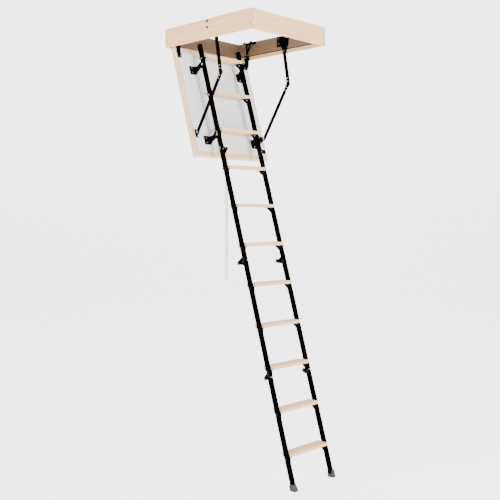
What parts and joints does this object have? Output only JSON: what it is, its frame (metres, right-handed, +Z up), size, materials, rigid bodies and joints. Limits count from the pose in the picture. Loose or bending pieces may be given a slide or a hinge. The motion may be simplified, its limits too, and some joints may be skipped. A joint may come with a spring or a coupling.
{
  "type": "attic ladder",
  "caption": "Folding attic ladder with wooden treads on black steel rails, hung from a hatch panel in a wooden ceiling frame.",
  "frame": {"origin": "centre of the wooden frame's underside, level with the ceiling", "axes": "+Z up; +X across the ladder, to the climber's right; -Y is the side the climber stands on; the hatch hinges at the +Y end"},
  "size_m": [0.687, 0.9823, 2.808],
  "materials": {
    "pine": "satin",
    "black_paint": "satin",
    "zinc": "satin",
    "white_board": "satin",
    "core_board": "matte",
    "rubber": "matte",
    "seal_foam": "matte",
    "pole_paint": "satin"
  },
  "bodies": {
    "hatch": {"fixings_1": "zinc", "fold_plates_1": "black_paint", "hatch_hinge_moving_leaves": "zinc", "lock_body": "zinc", "panel_core": "core_board", "panel_face_sheet": "white_board", "panel_outer_sheet": "white_board", "panel_rim": "pine", "panel_strips": "white_board", "rail_1_left": "black_paint", "rail_1_right": "black_paint", "rail_brackets": "black_paint", "spring_levers": "black_paint", "stay_feet": "black_paint", "tread_01": "pine", "tread_02": "pine", "tread_03": "pine", "tread_brackets_1": "black_paint"},
    "section_2": {"fixings_2": "zinc", "fold_plates_2": "black_paint", "rail_2_left": "black_paint", "rail_2_right": "black_paint", "tread_04": "pine", "tread_05": "pine", "tread_06": "pine", "tread_brackets_2": "black_paint"},
    "section_3": {"fixings_3": "zinc", "fold_plates_3": "black_paint", "rail_3_left": "black_paint", "rail_3_right": "black_paint", "tread_07": "pine", "tread_08": "pine", "tread_09": "pine", "tread_brackets_3": "black_paint"},
    "section_4": {"fixings_4": "zinc", "fold_plates_4": "black_paint", "foot_left": "rubber", "foot_right": "rubber", "rail_4_left": "black_paint", "rail_4_right": "black_paint", "tread_10": "pine", "tread_11": "pine", "tread_brackets_4": "black_paint"},
    "frame": {"frame_board_back": "pine", "frame_board_front": "pine", "frame_board_left": "pine", "frame_board_right": "pine", "frame_fixings": "zinc", "frame_seal": "seal_foam", "hatch_hinge_fixed_leaves": "zinc", "hatch_hinge_pins": "zinc", "spring_brackets": "black_paint", "springs": "black_paint", "stay_plates": "black_paint"},
    "latch": {"latch_tongue": "zinc"},
    "pole": {"opening_pole": "pole_paint"},
    "stay_lower_left": {"stay_lower_left": "black_paint"},
    "stay_lower_right": {"stay_lower_right": "black_paint"},
    "stay_upper_left": {"stay_upper_left": "black_paint"},
    "stay_upper_right": {"stay_upper_right": "black_paint"}
  },
  "joints": [
    {"name": "hatch_hinge", "type": "hinge", "parent": "frame", "child": "hatch", "pos_m": [0, 0.355, -0.025], "axis": [-1, 0, 0], "range_deg": [0, 49], "deforming": ["springs"]},
    {"name": "fold_a", "type": "hinge", "parent": "hatch", "child": "section_2", "pos_m": [0, 0.00163, -0.66843], "axis": [-1, 0, 0], "range_deg": [0, 180]},
    {"name": "fold_b", "type": "hinge", "parent": "section_2", "child": "section_3", "pos_m": [0, -0.13219, -1.38417], "axis": [1, 0, 0], "range_deg": [0, 180]},
    {"name": "fold_c", "type": "hinge", "parent": "section_3", "child": "section_4", "pos_m": [0, -0.35805, -2.06393], "axis": [1, 0, 0], "range_deg": [0, 180]},
    {"name": "stay_upper_left_pivot", "type": "hinge", "parent": "frame", "child": "stay_upper_left", "pos_m": [-0.313, -0.062, 0.012], "axis": [-1, 0, 0], "range_deg": [0, 141.16]},
    {"name": "stay_upper_right_pivot", "type": "hinge", "parent": "frame", "child": "stay_upper_right", "pos_m": [0.313, -0.062, 0.012], "axis": [-1, 0, 0], "range_deg": [0, 141.16]},
    {"name": "stay_lower_left_pivot", "type": "hinge", "parent": "hatch", "child": "stay_lower_left", "pos_m": [-0.307, 0.1141, -0.56349], "axis": [-1, 0, 0], "range_deg": [-12.57, 0]},
    {"name": "stay_lower_right_pivot", "type": "hinge", "parent": "hatch", "child": "stay_lower_right", "pos_m": [0.307, 0.1141, -0.56349], "axis": [-1, 0, 0], "range_deg": [-12.57, 0]},
    {"name": "pole_swing", "type": "hinge", "parent": "hatch", "child": "pole", "pos_m": [0, 0.16889, -0.70103], "axis": [1, 0, 0], "range_deg": [-10, 60]},
    {"name": "latch_slide", "type": "slide", "parent": "hatch", "child": "latch", "axis": [0, 0.2874, 0.9578], "range_m": [0, 0.006], "stiffness_N_per_m": 300, "springref_m": -0.002}
  ],
  "couplings": [
    {"joint": "fold_b", "follows": "fold_a", "ratio": 1},
    {"joint": "stay_upper_left_pivot", "follows": "hatch_hinge", "ratio": 2.8808},
    {"joint": "stay_lower_left_pivot", "follows": "hatch_hinge", "ratio": -0.25646},
    {"joint": "stay_upper_right_pivot", "follows": "hatch_hinge", "ratio": 2.8808},
    {"joint": "stay_lower_right_pivot", "follows": "hatch_hinge", "ratio": -0.25646}
  ]
}
